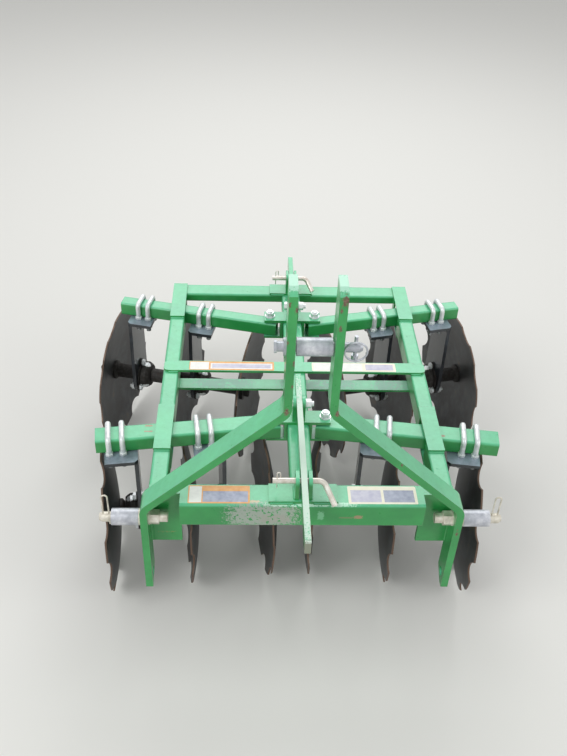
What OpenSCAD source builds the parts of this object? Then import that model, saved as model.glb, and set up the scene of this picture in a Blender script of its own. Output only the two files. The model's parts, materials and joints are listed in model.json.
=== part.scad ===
// Tandem disc harrow for a three-point hitch.
// Sizes in mm. The machine faces -Y, +Z is up. Heights count from the top of
// the front cross tube and depths from its front face, until place() moves
// everything onto the ground under the machine's middle.

/* [Frame] */
// Square front cross tube
front_tube = 63.5; // [50:0.1:80]
// Outer half width over the side tubes
side_outer = 328; // [300:1:360]
// Width of the side tubes
side_w = 38.1; // [30:0.1:50]
// Height of the side tubes
side_h = 50.8; // [40:0.1:64]
// Front face of the rear cross member
rear_y = 799; // [700:1:900]
// Depth of the rear cross member
rear_d = 50.8; // [40:0.1:64]
// Height of the rear cross member
rear_h = 25.4; // [20:0.1:40]
// Front edge of the two cross straps
strap_y = 450; // [400:1:500]
// Width of the flat straps
strap_w = 38.1; // [30:0.1:50]
// Thickness of the flat straps
strap_t = 6.35; // [5:0.05:10]
// Length of the windows that the front gang tubes pass through
front_window = 91; // [86:1:100]
// Length of the windows that the rear gang tubes pass through
rear_window = 77; // [74:1:84]

/* [Hitch] */
// Distance between the lower shoulders
hitch_spread = 683; // [600:1:720]
// Lower pins to upper pin
mast_rise = 457; // [400:1:480]
// Height of the lower pins below the top of the front tube
pin_drop = 53; // [40:1:70]
// Diameter of the lower pins
pin_d = 22.2; // [18:0.1:28]
// Diameter of the lower quick-hitch bushings
bush_d = 36.5; // [30:0.1:45]
// Diameter of the upper bushing
top_bush_d = 35; // [25:0.05:40]
// Diameter of the upper pin
top_pin_d = 19; // [15:0.1:25]
// Gap between the mast bars at the top
mast_gap = 71; // [60:0.5:90]
// Thickness of the mast bars
mast_t = 15.9; // [12:0.1:20]
// Depth of the mast bars
mast_d = 50.8; // [40:0.1:64]

/* [Gangs] */
// Angle of the front gangs in the stored position
front_angle = 7.6; // [0:0.1:15]
// Angle of the rear gangs in the stored position
rear_angle = 12.4; // [0:0.1:15]
// Side distance of the front pivots
front_piv_x = 63.5; // [55:0.5:80]
// Depth of the front pivots
front_piv_y = 279; // [250:1:320]
// Side distance of the rear pivots
rear_piv_x = 60; // [55:0.5:80]
// Depth of the rear pivots
rear_piv_y = 685; // [650:1:720]
// Depth of the front gang tubes
front_gang_d = 50.8; // [38:0.1:60]
// Depth of the rear gang tubes
rear_gang_d = 38.1; // [38:0.1:60]
// Height of the gang tubes
gang_h = 38.1; // [30:0.1:50]
// Outer end of the front gang tubes, from the pivot
front_gang_l = 405; // [380:1:430]
// Outer end of the rear gang tubes, from the pivot
rear_gang_l = 414.5; // [380:0.5:430]
// How far the left front discs sit out, and the right ones in
front_shift = 11; // [0:0.5:12]
// Wall of the tubes
wall = 4.8; // [3:0.1:6]

/* [Discs] */
// Diameter of the blades
disc_d = 392; // [370:1:394]
// Depth of the dish
disc_dish = 28; // [22:1:40]
// Thickness of the blades
disc_t = 4; // [3:0.5:6]
// Distance between the blades
disc_pitch = 190.5; // [170:0.5:210]
// Notches around each blade
notches = 10; // [6:1:14]
// Axle below the top of the front tube
axle_drop = 266; // [264:0.5:280]
// Square axle
axle_w = 25.4; // [20:0.1:30]

/* [Hidden] */
wall_t = wall;
side_top = -6.35;                        // top of the side tubes
gang_top = side_top - 5;                 // top of the gang tubes
gang_bot = gang_top - gang_h;
side_in = side_outer - side_w;
pin_z = -pin_drop;
top_pin_z = pin_z + mast_rise;
collar = 5;
leg_out = hitch_spread/2;                // outer face of the legs
leg_in = leg_out - mast_t;
mast_y = 16;                             // middle of the mast bars
mast_y0 = mast_y - mast_d/2;
mast_y1 = mast_y + mast_d/2;
front_lpin_y = 32;
rear_lpin_y = rear_y + 23;
front_nose = 180;                        // the bars run on in front of and behind
rear_tail = 86;                          // their L-shaped pins
bar_tip = front_lpin_y - front_nose;
rear_tip = rear_lpin_y + rear_tail;
// The notches are round bites out of the rim; rim_at() is how far the rim
// reaches in a direction that may fall into a notch.
rs = (disc_d*disc_d/4 + disc_dish*disc_dish)/(2*disc_dish);
notch_r = 42;
notch_c = disc_d/2 + 22;
notch_a = acos((disc_d*disc_d/4 + notch_c*notch_c - notch_r*notch_r)/(disc_d*notch_c));
function off_notch(a) = let (q = a*notches/360 - 0.5) abs(q - round(q))*360/notches;
function rim_at(a) = disc_d/2*cos(max(0, notch_a - off_notch(a)));
ground = axle_drop + rim_at(180);
rear_first = 460;                        // outer blade of the rear gangs
rim_u = sqrt((rs + disc_t/2)*(rs + disc_t/2) - disc_d*disc_d/4) - rs;
rear_reach = rear_piv_y + (rear_first + rim_u)*sin(rear_angle) + rim_at(90)*cos(rear_angle);
mid_y = (bar_tip + max(rear_reach, rear_tip))/2;
bar_z = 42;                              // front adjusting bar, pin and bolt
rear_bar_z = 36;                         // rear adjusting bar, pin and bolt
bar_t = 12.7;
bar_h = 31.75;
lpin_d = 12.7;
step = 25;                               // distance between the adjusting holes
// The windows lie where the gang tubes cross the side tubes
side_mid = side_outer - side_w/2;
front_cross = front_piv_y - (side_mid - front_piv_x)*tan(front_angle);
rear_cross = rear_piv_y + (side_mid - rear_piv_x)*tan(rear_angle);
win_f = [front_cross - front_window/2, front_cross + front_window/2];
win_r = [rear_cross - rear_window/2, rear_cross + rear_window/2];
bolt_d = 12.7;                           // vertical pivot bolts
journal_d = 50;
axle_z = -axle_drop;

module place() translate([0, -mid_y, ground]) children();
module both() { children(); mirror([1, 0, 0]) children(); }

// Rounded rectangle from a corner at the origin
module rrect(w, h, r) {
    translate([r, 0]) square([w - 2*r, h]);
    translate([0, r]) square([w, h - 2*r]);
    for (x = [r, w - r], y = [r, h - r]) translate([x, y]) circle(r, $fn = 32);
}
module tube_2d(w, h, t, r = 6) difference() {
    rrect(w, h, r);
    translate([t, t]) rrect(w - 2*t, h - 2*t, max(1, r - t));
}
// Tube along X / Y, corner at the origin
module tube_x(l, d, h, t = wall_t) rotate([90, 0, 90]) linear_extrude(l) tube_2d(d, h, t);
module tube_y(l, w, h, t = wall_t) translate([0, l, 0]) rotate([90, 0, 0])
    linear_extrude(l) tube_2d(w, h, t);
module cyl_x(d, l) rotate([0, 90, 0]) cylinder(d = d, h = l, $fn = 48);
module cyl_y(d, l) rotate([-90, 0, 0]) cylinder(d = d, h = l, $fn = 48);
module hex_x(af, l) rotate([0, 90, 0]) rotate([0, 0, 30]) cylinder(d = af/cos(30), h = l, $fn = 6);
module hex_z(af, l) cylinder(d = af/cos(30), h = l, $fn = 6);

// Frame

notch_w = 66.6;             // the front tube is notched beside the legs, for the pin nuts
notch_x = leg_in - notch_w;
plate_t = 8;
plate_drop = 148;
plate_y = mast_y1 - plate_t;

module front_cross_tube() place() color("green") difference() {
    translate([-leg_in, 0, -front_tube]) tube_x(2*leg_in, front_tube, front_tube, 6.35);
    both() translate([notch_x, -1, -front_tube - 1])
        cube([leg_in - notch_x + 1, mast_y1 + 1, front_tube + 2]);
}
// Hanging plates that close the notches and brace the legs
module hitch_plate() difference() {
    translate([notch_x, plate_y, -plate_drop]) cube([notch_w, plate_t, plate_drop]);
    mast_bar();
}
module hitch_plate_L() place() color("green") mirror([1, 0, 0]) hitch_plate();
module hitch_plate_R() place() color("green") hitch_plate();

module rear_cross_tube() place() color("green")
    translate([-side_outer, rear_y, side_top - rear_h]) tube_x(2*side_outer, rear_d, rear_h, 3.2);

module side_tube() {
    z0 = side_top - side_h;
    translate([side_in, front_tube, z0]) tube_y(win_f[0] - front_tube, side_w, side_h);
    translate([side_in, win_f[1], z0]) tube_y(win_r[0] - win_f[1], side_w, side_h);
    translate([side_in, win_r[1], z0]) tube_y(rear_y - win_r[1], side_w, side_h);
}

// Flat straps that bridge the windows above and below the gang tubes
module window_straps() for (z = [side_top, side_top - side_h - strap_t]) {
    translate([side_in, win_f[0] - 30, z]) cube([side_w, front_window + 60, strap_t]);
    translate([side_in, win_r[0] - 18, z]) cube([side_w, rear_y - win_r[0] + 18
        + (z < side_top ? 0 : rear_d - 7), strap_t]);
}
module side_tubes_L() place() color("green") mirror([1, 0, 0]) side_tube();
module side_tubes_R() place() color("green") side_tube();
module window_straps_L() place() color("green") mirror([1, 0, 0]) window_straps();
module window_straps_R() place() color("green") window_straps();

// Centre beam that guides the two pivot blocks
beam_w = 50.8;
beam_h = 38.1;
module centre_beam() place() color("green")
    translate([-beam_w/2, front_tube, side_top - beam_h])
        tube_y(rear_y - front_tube, beam_w, beam_h);

module upper_strap() place() color("green") translate([0, strap_y, side_top]) {
    translate([-side_outer + 12, 0, 0]) cube([2*side_outer - 24, strap_w, strap_t]);
    for (x = [-side_outer + 12, side_outer - 12]) translate([x, 12, 0]) {
        translate([-10, 0, 0]) cube([20, strap_w - 24, strap_t]);
        for (y = [0, strap_w - 24]) translate([0, y, 0]) intersection() {
            cylinder(r = 11, h = strap_t, $fn = 40);
            translate([-12, -12, 0]) cube([24, 24, strap_t]);
        }
    }
}
module lower_strap() place() color("green")
    translate([-side_outer + 4, strap_y, side_top - side_h - strap_t])
        cube([2*side_outer - 8, strap_w, strap_t]);

// Hitch

mast_in = mast_gap/2;
mast_top = top_pin_z + 138;
knee_hi = 262;
knee_lo = -10;
leg_bot = -257;
bend_r = 30;
knee_dx = leg_out - mast_t/2 - (mast_in + mast_t/2);
knee_a = atan2(knee_dx, knee_hi - knee_lo);     // lean of the diagonal
knee_t = bend_r*tan(knee_a/2);
bend_n = 16;

// The flat bar follows a line of [x, z, heading]: up the leg, round the lower
// knee, along the diagonal, round the upper knee and up to the top.
leg_x = leg_out - mast_t/2;
up_x = mast_in + mast_t/2;
mast_line = concat(
    [[leg_x, leg_bot, 0]],
    [for (i = [0:bend_n]) let (h = knee_a*i/bend_n)
        [leg_x - bend_r + bend_r*cos(h), knee_lo - knee_t + bend_r*sin(h), h]],
    [for (i = [bend_n:-1:0]) let (h = knee_a*i/bend_n)
        [up_x + bend_r - bend_r*cos(h), knee_hi + knee_t - bend_r*sin(h), h]],
    [[up_x, mast_top, 0]]);
function side(s) = [for (p = mast_line) [p[0] + s*cos(p[2])*mast_t/2, p[1] + s*sin(p[2])*mast_t/2]];
function flip(l) = [for (i = [len(l) - 1:-1:0]) l[i]];
module mast_2d() polygon(concat(side(1), flip(side(-1))));
module mast_bar() translate([0, mast_y1, 0]) rotate([90, 0, 0]) linear_extrude(mast_d) mast_2d();
module mast() difference() {
    mast_bar();
    // lower pin, its lower place, and the upper pin
    translate([leg_in - 5, mast_y, pin_z]) cyl_x(pin_d + 0.4, 30);
    translate([leg_in - 5, mast_y - 2, leg_bot + 28]) cyl_x(pin_d + 0.4, 30);
    translate([mast_in - 5, mast_y, top_pin_z]) cyl_x(top_pin_d + 0.5, 30);
    // sloping foot
    translate([leg_in - 5, mast_y - 10, leg_bot]) rotate([34, 0, 0])
        translate([0, 0, -60]) cube([30, 120, 60]);
    // clipped front corner at the top
    translate([mast_in - 5, mast_y0, mast_top - 14]) rotate([45, 0, 0]) cube([30, 30, 30]);
}
module mast_L() place() color("green") mirror([1, 0, 0]) mast();
module mast_R() place() color("green") mast();

// Lower pin with collar, nut and spring clip
bush_l = 57;
clip_x = leg_out + collar + bush_l + 5.5;
pin_end = leg_out + collar + bush_l + 20;
module hair_clip(w) {
    // ring end and two legs in the XZ plane, standing up from the origin
    translate([0, 0, 58]) rotate([90, 0, 0]) rotate_extrude(angle = 180, $fn = 48)
        translate([w/2, 0]) circle(r = 1.75, $fn = 20);
    translate([-w/2, 0, -22]) cylinder(r = 1.75, h = 80, $fn = 20);
    translate([w/2, 0, pin_d/2 - 0.5]) cylinder(r = 1.75, h = 58.5 - pin_d/2, $fn = 20);
}
module hitch_pin() translate([0, mast_y, pin_z]) {
    difference() {
        union() {
            translate([leg_in - 40, 0, 0]) cyl_x(pin_d, pin_end - leg_in + 40);
            translate([pin_end, 0, 0]) rotate([0, 90, 0])
                cylinder(d1 = pin_d, d2 = pin_d - 7, h = 6.5, $fn = 48);
        }
        translate([clip_x, 0, -20]) cylinder(r = 1.85, h = 40, $fn = 20);
    }
    translate([leg_out, 0, 0]) cyl_x(36, collar);
    translate([leg_in - 3, 0, 0]) cyl_x(34, 3);
    translate([leg_in - 3 - 19, 0, 0]) hex_x(28.6, 19);
}
module hitch_clip() translate([clip_x + 6.25, mast_y, pin_z]) hair_clip(12.5);
module hitch_pin_L() place() color("silver") mirror([1, 0, 0]) { hitch_pin(); hitch_clip(); }
module hitch_pin_R() place() color("silver") { hitch_pin(); hitch_clip(); }

module hitch_bushing() translate([leg_out + collar + 0.3, mast_y, pin_z]) difference() {
    cyl_x(bush_d, bush_l);
    translate([-1, 0, 0]) cyl_x(pin_d + 0.2, bush_l + 2);
}
module hitch_bushing_L() place() color("silver") mirror([1, 0, 0]) hitch_bushing();
module hitch_bushing_R() place() color("silver") hitch_bushing();

mast_out = mast_in + mast_t;
module top_link_pin() place() color("silver") { top_pin(); linch_pin(); }
module top_pin() translate([0, mast_y, top_pin_z]) {
    translate([-mast_out - 18, 0, 0]) cyl_x(top_pin_d, 2*mast_out + 18 + 31);
    translate([mast_out + 31, 0, 0]) rotate([0, 90, 0])
        cylinder(d1 = top_pin_d, d2 = 12, h = 6, $fn = 48);
    translate([-mast_out - 5, 0, 0]) cyl_x(34, 5);
    translate([-mast_out - 22, 0, 0]) cyl_x(24, 5);
}
module top_link_bushing() place() color("silver")
    translate([-mast_in + 2.5, mast_y, top_pin_z]) difference() {
        cyl_x(top_bush_d, 2*mast_in - 5);
        translate([-1, 0, 0]) cyl_x(top_pin_d + 0.3, 2*mast_in);
    }
// Linch pin: a stud through the pin's end and a spring ring over it
module linch_pin() translate([mast_out + 23.6, mast_y, top_pin_z]) {
    translate([0, 0, -18]) cylinder(d = 7, h = 43, $fn = 32);
    translate([0, 0, -26]) cylinder(d = 13, h = 9, $fn = 32);
    translate([0, -14.5, -21.5]) cyl_y(5, 10);
    translate([0, -12.3, -1]) rotate([90, 0, 0]) rotate_extrude($fn = 64)
        translate([20.5, 0]) circle(r = 1.9, $fn = 20);
}

// Angle adjustment

module ear(t, bz) rotate([90, 0, 90]) linear_extrude(t) difference() {
    union() {
        translate([-22, 0]) square([44, bz + 4]);
        translate([-8, 0]) square([16, bz + 18]);
        for (y = [-8, 8]) translate([y, bz + 4]) circle(14, $fn = 48);
    }
    translate([0, bz]) circle(d = lpin_d + 0.6, $fn = 40);
}
front_foot = [146, 52];     // foot plates under the ears
rear_foot = [118, 46];
foot_t = 6.35;
module foot(size) translate([-size[0]/2, -size[1]/2, 0]) cube([size[0], size[1], foot_t]);
module front_ears() place() color("green") translate([0, front_lpin_y, 0]) {
    foot(front_foot);
    both() translate([9.7, 0, 0]) ear(8, bar_z);
}
module rear_ears() place() color("green") translate([0, rear_lpin_y, side_top]) {
    foot(rear_foot);
    both() translate([8, 0, -side_top]) ear(6.35, rear_bar_z);
}

// L-shaped pin: straight through the ears, then bent down and forward. A small
// clip stands in its straight end.
lean = 43;
front_pin = [65, 46];       // how far it reaches past the middle, and its arm
rear_pin = [52, 30];
module l_pin(reach, arm) {
    translate([-reach, 0, 0]) cyl_x(lpin_d, reach + 30);
    translate([30, 0, 0]) rotate([lean, 0, 0]) translate([0, -18, 0]) {
        rotate([0, 0, 25]) rotate_extrude(angle = 65, $fn = 64)
            translate([18, 0]) circle(d = lpin_d, $fn = 48);
        rotate([0, 0, -65]) translate([0, 18, 0]) cyl_x(lpin_d, arm);
    }
    translate([9 - reach, 0, 2]) clip_small();
}
module front_l_pin() place() color("gold") translate([0, front_lpin_y, bar_z])
    l_pin(front_pin[0], front_pin[1]);
module rear_l_pin() place() color("gold") translate([0, rear_lpin_y, rear_bar_z])
    l_pin(rear_pin[0], rear_pin[1]);
module clip_small() {
    translate([0, 0, -22]) cylinder(r = 1.4, h = 40, $fn = 16);
    translate([3.5, 0, 18]) rotate([90, 0, 0]) rotate_extrude(angle = 180, $fn = 40)
        translate([3.5, 0]) circle(r = 1.4, $fn = 16);
    translate([7, 0, 8]) cylinder(r = 1.4, h = 10, $fn = 16);
}

// Flat bar on edge, with its row of adjusting holes joined into a slot
module adjusting_bar(y0, y1, pin_y, bolt_y, bz) difference() {
    translate([-bar_t/2, y0, bz - bar_h/2]) cube([bar_t, y1 - y0, bar_h]);
    for (i = [-1:1]) translate([-10, pin_y + i*step, bz]) cyl_x(lpin_d + 3.2, 20);
    translate([-10, pin_y - step, bz - lpin_d/2 - 0.3]) cube([20, 2*step, lpin_d + 0.6]);
    translate([-10, bolt_y, bz]) cyl_x(13.1, 20);
}
front_tail = 90;            // the bars run past their cross bolts
rear_nose = 53;
module front_bar() place() color("green")
    adjusting_bar(bar_tip, front_piv_y + front_tail, front_lpin_y, front_piv_y, bar_z);
module rear_bar() place() color("green")
    adjusting_bar(rear_piv_y - rear_nose, rear_tip, rear_lpin_y, rear_piv_y, rear_bar_z);

// Pivot block: two plates around the beam, with cheeks beside it and lugs on top
plate_hi = side_top + 0.35;
plate_lo = gang_bot - 0.1;
blk_t = 8;
blk_b = 6.35;
blk_half = 75;
module block(px, depth, lug, bz) difference() {
    union() {
        translate([-blk_half, -depth/2, plate_hi]) cube([2*blk_half, depth, blk_t]);
        translate([-blk_half, -depth/2, plate_lo - blk_b]) cube([2*blk_half, depth, blk_b]);
        both() translate([beam_w/2 + 0.5, -depth/2, plate_lo])
            cube([7, depth, plate_hi - plate_lo]);
        both() translate([bar_t/2 + 0.3, 0, plate_hi + blk_t]) rotate([90, 0, 90])
            linear_extrude(8) union() {
                translate([-lug/2, 0]) square([lug, bz - plate_hi - blk_t]);
                translate([0, bz - plate_hi - blk_t]) circle(d = lug, $fn = 48);
            }
    }
    both() translate([px, 0, plate_lo - 20]) cylinder(d = bolt_d + 0.1, h = 120, $fn = 48);
    translate([-30, 0, bz]) cyl_x(13.1, 60);
}
module front_block() place() color("green") translate([0, front_piv_y, 0])
    block(front_piv_x, 42, 38, bar_z);
module rear_block() place() color("green") translate([0, rear_piv_y, 0])
    block(rear_piv_x, 42, 36, rear_bar_z);

// Vertical pivot bolts with nuts and spacers, and the cross bolt of the bar
module block_bolts(px, bz) {
    both() translate([px, 0, 0]) {
        translate([0, 0, plate_lo - blk_b - 8]) hex_z(19, 8);
        translate([0, 0, plate_lo - blk_b - 1]) cylinder(d = bolt_d, h = plate_hi - plate_lo
            + blk_b + blk_t + 1 + 2.5 + 11 + 4, $fn = 48);
        translate([0, 0, plate_hi + blk_t]) cylinder(d = 27, h = 2.5, $fn = 48);
        translate([0, 0, plate_hi + blk_t + 2.5]) hex_z(19, 11);
        translate([0, 0, gang_top + 0.1]) cylinder(d = 27, h = plate_hi - gang_top - 0.1, $fn = 48);
    }
    translate([-bar_t/2 - 8.3 - 8, 0, bz]) hex_x(19, 8);
    translate([-bar_t/2 - 10, 0, bz]) cyl_x(12.7, bar_t + 20 + 18);
    translate([bar_t/2 + 8.3, 0, bz]) cyl_x(25, 2.5);
    translate([bar_t/2 + 10.8, 0, bz]) hex_x(19, 11);
}
module front_block_bolts() place() color("silver") translate([0, front_piv_y, 0])
    block_bolts(front_piv_x, bar_z);
module rear_block_bolts() place() color("silver") translate([0, rear_piv_y, 0])
    block_bolts(rear_piv_x, rear_bar_z);

// Gangs
// Each gang is drawn on the right side, along +X from its pivot.

module at_front(s) place() mirror([s < 0 ? 1 : 0, 0, 0])
    translate([front_piv_x, front_piv_y, 0]) rotate([0, 0, -front_angle]) children();
// Both front gangs carry their discs front_shift to the left, so that the
// middle of the track is worked too.
module shifted(s) at_front(s) translate([-s*front_shift, 0, 0]) children();
module at_rear(s) place() mirror([s < 0 ? 1 : 0, 0, 0])
    translate([rear_piv_x, rear_piv_y, 0]) rotate([0, 0, rear_angle]) children();

module gang_tube(d, l) difference() {
    translate([-20, -d/2, gang_bot]) tube_x(l + 20, d, gang_h);
    translate([0, 0, gang_bot - 1]) cylinder(d = bolt_d + 0.1, h = gang_h + 2, $fn = 48);
}

hang_t = 9.5;
ub_d = 12.7;
hang_hole = 58;
flange_r = 42;              // circle of the three bearing bolts
bear_w = 32;                // width of a bearing
// Hanger: top plate along s from the upright, upright down to the bearing
module hanger(d, s, l, ub, gap) difference() {
    union() {
        translate([0, 0, gang_bot - hang_t]) mirror([s > 0 ? 0 : 1, 0, 0]) linear_extrude(hang_t)
            polygon([[8, -d/2 - 36], [l, -d/2 - 36], [l, d/2 + 36], [8, d/2 + 36],
                [0, d/2 + 28], [0, -d/2 - 28]]);
        translate([s > 0 ? 0 : -hang_t, 0, 0]) rotate([90, 0, 90]) linear_extrude(hang_t) {
            polygon([[-46, gang_bot - hang_t], [46, gang_bot - hang_t],
                [50, axle_z + 6], [-50, axle_z + 6]]);
            translate([0, axle_z]) circle(r = 50, $fn = 72);
        }
    }
    translate([-20, 0, axle_z]) cyl_x(hang_hole, 40);
    for (u = [ub - gap/2, ub + gap/2], v = [-1, 1])
        translate([s*u, v*(d/2 + ub_d/2 + 0.3), gang_bot - 20]) cylinder(d = ub_d + 1, h = 40, $fn = 32);
    for (a = [90, 210, 330]) translate([-20, flange_r*cos(a), axle_z + flange_r*sin(a)])
        cyl_x(10.4, 40);
}
module u_bolt(d) {
    r = 10;
    w = d/2 + ub_d/2 + 0.3;
    top = gang_top + ub_d/2 + 0.2;
    for (v = [-1, 1]) {
        translate([0, v*w, gang_bot - hang_t - 25]) cylinder(d = ub_d, h = top - r - gang_bot
            + hang_t + 25, $fn = 40);
        translate([0, v*w, gang_bot - hang_t - 2.5]) cylinder(d = 24, h = 2.5, $fn = 40);
        translate([0, v*w, gang_bot - hang_t - 2.5 - 11]) hex_z(19, 11);
    }
    translate([0, -w + r, top]) cyl_y(ub_d, 2*(w - r));
    translate([0, w - r, top - r]) rotate([0, -90, 0]) rotate_extrude(angle = 90, $fn = 48)
        translate([r, 0]) circle(d = ub_d, $fn = 40);
    translate([0, -w + r, top - r]) mirror([0, 1, 0]) rotate([0, -90, 0])
        rotate_extrude(angle = 90, $fn = 48) translate([r, 0]) circle(d = ub_d, $fn = 40);
}
// Flange bearing on the side of the upright that the top plate is on, three bolts
module bearing(s) translate([s*hang_t, 0, 0]) mirror([s > 0 ? 0 : 1, 0, 0]) {
    difference() {
        union() {
            rotate([90, 0, 90]) linear_extrude(5) translate([0, axle_z]) {
                circle(r = 40, $fn = 64);
                for (a = [90, 210, 330]) translate([flange_r*cos(a), flange_r*sin(a)])
                    circle(r = 11, $fn = 32);
            }
            translate([0, 0, axle_z]) rotate([0, 90, 0]) rotate_extrude($fn = 72)
                polygon([[journal_d/2 + 1, 5], [36, 5], [38, 8], [38, 20], [34, 27], [30, bear_w],
                    [journal_d/2 + 1, bear_w]]);
        }
        translate([-60, 0, axle_z]) cyl_x(journal_d + 0.12, 120);
    }
    for (a = [90, 210, 330]) translate([0, flange_r*cos(a), axle_z + flange_r*sin(a)]) {
        translate([-hang_t - 14, 0, 0]) cyl_x(10, hang_t + 14 + 14);
        translate([-hang_t - 8, 0, 0]) hex_x(17, 8);
        translate([5, 0, 0]) hex_x(17, 7);
    }
}

// Dished blade with its vertex at the origin, opening towards dir on X
module blade(dir) mirror([dir < 0 ? 1 : 0, 0, 0]) difference() {
    intersection() {
        translate([rs, 0, 0]) sphere(r = rs + disc_t/2, $fn = 180);
        translate([-10, 0, 0]) cyl_x(disc_d, 100);
    }
    translate([rs, 0, 0]) sphere(r = rs - disc_t/2, $fn = 180);
    for (i = [0:notches - 1]) rotate([(i + 0.5)*360/notches, 0, 0])
        translate([-80, 0, notch_c]) cyl_x(2*notch_r, 160);
    translate([-20, -axle_w/2, -axle_w/2]) cube([40, axle_w, axle_w]);
}
module blades(first, dir) for (i = [0:2])
    translate([first - i*disc_pitch, 0, axle_z]) blade(dir);

// Spool from blade to blade: flanges, neck, and the journal in the bearing
module spool(u0, u1, j0, j1) difference() {
    translate([0, 0, axle_z]) rotate([0, 90, 0]) rotate_extrude($fn = 72) polygon([
        [0, u0], [27, u0], [27, u0 + 6], [24, u0 + 9], [20, u0 + 12], [20, j0],
        [journal_d/2, j0], [journal_d/2, j1], [20, j1], [20, u1 - 12], [24, u1 - 9],
        [27, u1 - 6], [27, u1], [0, u1]]);
    translate([u0 - 1, -axle_w/2, axle_z - axle_w/2]) cube([u1 - u0 + 2, axle_w, axle_w]);
}
module axle(first, dir, bear) {
    last = first - 2*disc_pitch;
    h = disc_t/2;
    soft = 0.9;            // the dish falls away this much at the flange
    hi = dir > 0 ? h : h + soft;
    lo = dir > 0 ? h + soft : h;
    for (i = [0, 1]) spool(first - (i + 1)*disc_pitch + lo, first - i*disc_pitch - hi,
        bear[i] - bear_w/2 - 0.5, bear[i] + bear_w/2 + 0.5);
    translate([last - hi - 24, -axle_w/2, axle_z - axle_w/2])
        cube([first - last + hi + 24 + 37, axle_w, axle_w]);
    // end washers, nut outside and head inside
    translate([first + lo, 0, axle_z]) difference() {
        cyl_x(64, 8);
        translate([-1, -axle_w/2, -axle_w/2]) cube([10, axle_w, axle_w]);
    }
    translate([first + lo + 8, 0, axle_z]) hex_x(38, 20);
    translate([last - hi - 8, 0, axle_z]) cyl_x(64, 8);
    translate([last - hi - 8 - 14, 0, axle_z]) hex_x(38, 14);
}

front_first = 358;      // outer blade of the front gangs, from the pivot
front_hang = [301, 99];
rear_hang = [387, 216];
front_hang_l = 75;
rear_hang_l = 66;
front_ub = 48;
rear_ub = 37.5;
front_gap = 31;         // between the two U-bolts of a hanger
rear_gap = 27;

module gang_tube_FL() at_front(-1) color("green") gang_tube(front_gang_d, front_gang_l);
module gang_tube_FR() at_front(1) color("green") gang_tube(front_gang_d, front_gang_l);
module gang_tube_RL() at_rear(-1) color("green") gang_tube(rear_gang_d, rear_gang_l);
module gang_tube_RR() at_rear(1) color("green") gang_tube(rear_gang_d, rear_gang_l);

module hangers_F() for (u = front_hang) translate([u, 0, 0])
    hanger(front_gang_d, 1, front_hang_l, front_ub, front_gap);
module hangers_R() for (u = rear_hang) translate([u, 0, 0])
    hanger(rear_gang_d, -1, rear_hang_l, rear_ub, rear_gap);
module hangers_FL() shifted(-1) color("black") hangers_F();
module hangers_FR() shifted(1) color("black") hangers_F();
module hangers_RL() at_rear(-1) color("black") hangers_R();
module hangers_RR() at_rear(1) color("black") hangers_R();

module u_bolts_F() for (u = front_hang, g = [-0.5, 0.5])
    translate([u + front_ub + g*front_gap, 0, 0])
    u_bolt(front_gang_d);
module u_bolts_R() for (u = rear_hang, g = [-0.5, 0.5])
    translate([u - rear_ub + g*rear_gap, 0, 0])
    u_bolt(rear_gang_d);
module u_bolts_FL() shifted(-1) color("silver") u_bolts_F();
module u_bolts_FR() shifted(1) color("silver") u_bolts_F();
module u_bolts_RL() at_rear(-1) color("silver") u_bolts_R();
module u_bolts_RR() at_rear(1) color("silver") u_bolts_R();

module bearings_F() for (u = front_hang) translate([u, 0, 0]) bearing(1);
module bearings_R() for (u = rear_hang) translate([u, 0, 0]) bearing(-1);
module bearings_FL() shifted(-1) color("dimgray") bearings_F();
module bearings_FR() shifted(1) color("dimgray") bearings_F();
module bearings_RL() at_rear(-1) color("dimgray") bearings_R();
module bearings_RR() at_rear(1) color("dimgray") bearings_R();

module axle_F() axle(front_first, 1, [for (u = front_hang) u + hang_t + bear_w/2]);
module axle_R() axle(rear_first, -1, [for (u = rear_hang) u - hang_t - bear_w/2]);
module axle_FL() shifted(-1) color("dimgray") axle_F();
module axle_FR() shifted(1) color("dimgray") axle_F();
module axle_RL() at_rear(-1) color("dimgray") axle_R();
module axle_RR() at_rear(1) color("dimgray") axle_R();

module blades_FL() shifted(-1) color("dimgray") blades(front_first, 1);
module blades_FR() shifted(1) color("dimgray") blades(front_first, 1);
module blades_RL() at_rear(-1) color("dimgray") blades(rear_first, -1);
module blades_RR() at_rear(1) color("dimgray") blades(rear_first, -1);

// Nodes

front_cross_tube();
hitch_plate_L();
hitch_plate_R();
rear_cross_tube();
side_tubes_L();
window_straps_L();
side_tubes_R();
window_straps_R();
centre_beam();
upper_strap();
lower_strap();
mast_L();
mast_R();
hitch_pin_L();
hitch_pin_R();
hitch_bushing_L();
hitch_bushing_R();
top_link_pin();
top_link_bushing();
front_ears();
rear_ears();
front_l_pin();
rear_l_pin();
front_bar();
rear_bar();
front_block();
rear_block();
front_block_bolts();
rear_block_bolts();
gang_tube_FL();
gang_tube_FR();
gang_tube_RL();
gang_tube_RR();
hangers_FL();
hangers_FR();
hangers_RL();
hangers_RR();
u_bolts_FL();
u_bolts_FR();
u_bolts_RL();
u_bolts_RR();
bearings_FL();
bearings_FR();
bearings_RL();
bearings_RR();
axle_FL();
axle_FR();
axle_RL();
axle_RR();
blades_FL();
blades_FR();
blades_RL();
blades_RR();
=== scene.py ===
# Tandem disc harrow: paint, metal, decals, welds, light and camera.
import json
import math

import bmesh
import bpy
from mathutils import Matrix, Vector


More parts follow.
